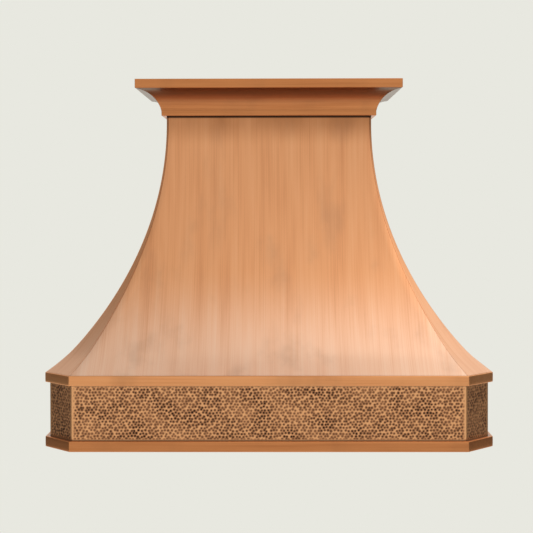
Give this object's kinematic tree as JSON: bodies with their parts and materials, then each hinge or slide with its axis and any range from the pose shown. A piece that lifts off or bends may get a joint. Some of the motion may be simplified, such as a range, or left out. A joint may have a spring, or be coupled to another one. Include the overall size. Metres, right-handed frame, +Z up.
{
  "type": "island range hood",
  "caption": "Copper island range hood: flared eight-sided shell, cove crown and hammered apron, over a steel liner with hinged baffle filters, lamps, push buttons, blower and damper.",
  "frame": {"origin": "middle of the bottom rim's underside", "axes": "+X to the right along the long side, -Y to the front (the side with the push buttons), +Z up"},
  "size_m": [0.914, 0.686, 0.762],
  "materials": {
    "brushed_copper": "brushed copper",
    "trim_copper": "brushed copper, darker",
    "hammered_copper": "hammered, antiqued copper",
    "stainless_steel": "brushed",
    "galvanised_steel": "galvanised",
    "shaft_steel": "ground",
    "black_steel": "satin black",
    "motor_paint": "dark enamel",
    "frosted_glass": "frosted"
  },
  "bodies": {
    "hood": {"body_front": "brushed_copper", "body_rear": "brushed_copper", "body_left": "brushed_copper", "body_right": "brushed_copper", "corner_front_left": "brushed_copper", "corner_front_right": "brushed_copper", "corner_rear_left": "brushed_copper", "corner_rear_right": "brushed_copper", "upper_trim": "trim_copper", "lower_trim": "trim_copper", "crown_front": "trim_copper", "crown_rear": "trim_copper", "crown_left": "trim_copper", "crown_right": "trim_copper", "apron_front": "hammered_copper", "apron_rear": "hammered_copper", "apron_left": "hammered_copper", "apron_right": "hammered_copper", "ceiling_plate": "galvanised_steel", "upright_front_left": "galvanised_steel", "upright_rear_left": "galvanised_steel", "upright_front_right": "galvanised_steel", "upright_rear_right": "galvanised_steel", "carrier_frame": "galvanised_steel", "base_frame": "galvanised_steel", "plenum_cone": "galvanised_steel", "blower_box": "galvanised_steel", "scroll_housing": "galvanised_steel", "duct_collar": "galvanised_steel", "duct_pipe": "galvanised_steel", "junction_box": "galvanised_steel", "control_conduit": "galvanised_steel", "liner_pan": "stainless_steel", "filter_clip_left": "stainless_steel", "filter_clip_right": "stainless_steel", "lamp_bezel_1": "stainless_steel", "lamp_bezel_2": "stainless_steel", "lamp_bezel_3": "stainless_steel", "lamp_bezel_4": "stainless_steel", "lamp_lens_1": "frosted_glass", "lamp_lens_2": "frosted_glass", "lamp_lens_3": "frosted_glass", "lamp_lens_4": "frosted_glass", "control_panel": "black_steel", "motor": "motor_paint"},
    "filter_left": {"filter_frame_left": "stainless_steel", "filter_baffles_left": "stainless_steel"},
    "bail_left": {"filter_bail_left": "stainless_steel"},
    "filter_right": {"filter_frame_right": "stainless_steel", "filter_baffles_right": "stainless_steel"},
    "bail_right": {"filter_bail_right": "stainless_steel"},
    "light_button": {"light_button": "stainless_steel"},
    "low_button": {"low_button": "stainless_steel"},
    "medium_button": {"medium_button": "stainless_steel"},
    "high_button": {"high_button": "stainless_steel"},
    "fan": {"impeller": "galvanised_steel", "motor_shaft": "shaft_steel"},
    "flap_front": {"damper_flap_front": "galvanised_steel"},
    "flap_rear": {"damper_flap_rear": "galvanised_steel"}
  },
  "joints": [
    {"name": "filter_left_swing", "type": "hinge", "parent": "hood", "child": "filter_left", "pos_m": [-0.169, 0.161, 0.069], "axis": [1, 0, 0], "range_deg": [0, 80]},
    {"name": "bail_left_swing", "type": "hinge", "parent": "filter_left", "child": "bail_left", "pos_m": [-0.169, -0.141, 0.058], "axis": [1, 0, 0], "range_deg": [-85, 85]},
    {"name": "filter_right_swing", "type": "hinge", "parent": "hood", "child": "filter_right", "pos_m": [0.169, 0.161, 0.069], "axis": [1, 0, 0], "range_deg": [0, 80]},
    {"name": "bail_right_swing", "type": "hinge", "parent": "filter_right", "child": "bail_right", "pos_m": [0.169, -0.141, 0.058], "axis": [1, 0, 0], "range_deg": [-85, 85]},
    {"name": "light_press", "type": "slide", "parent": "hood", "child": "light_button", "axis": [0, 0, 1], "range_m": [0, 0.0025], "stiffness_N_per_m": 300, "springref_m": -0.001},
    {"name": "low_press", "type": "slide", "parent": "hood", "child": "low_button", "axis": [0, 0, 1], "range_m": [0, 0.0025], "stiffness_N_per_m": 300, "springref_m": -0.001},
    {"name": "medium_press", "type": "slide", "parent": "hood", "child": "medium_button", "axis": [0, 0, 1], "range_m": [0, 0.0025], "stiffness_N_per_m": 300, "springref_m": -0.001},
    {"name": "high_press", "type": "slide", "parent": "hood", "child": "high_button", "axis": [0, 0, 1], "range_m": [0, 0.0025], "stiffness_N_per_m": 300, "springref_m": -0.001},
    {"name": "fan_spin", "type": "hinge", "parent": "hood", "child": "fan", "pos_m": [0.062, 0, 0.344], "axis": [0, 1, 0], "continuous": true},
    {"name": "flap_front_lift", "type": "hinge", "parent": "hood", "child": "flap_front", "pos_m": [0, -0.005, 0.504], "axis": [-1, 0, 0], "range_deg": [0, 75]},
    {"name": "flap_rear_lift", "type": "hinge", "parent": "hood", "child": "flap_rear", "pos_m": [0, 0.005, 0.504], "axis": [1, 0, 0], "range_deg": [0, 75]}
  ]
}
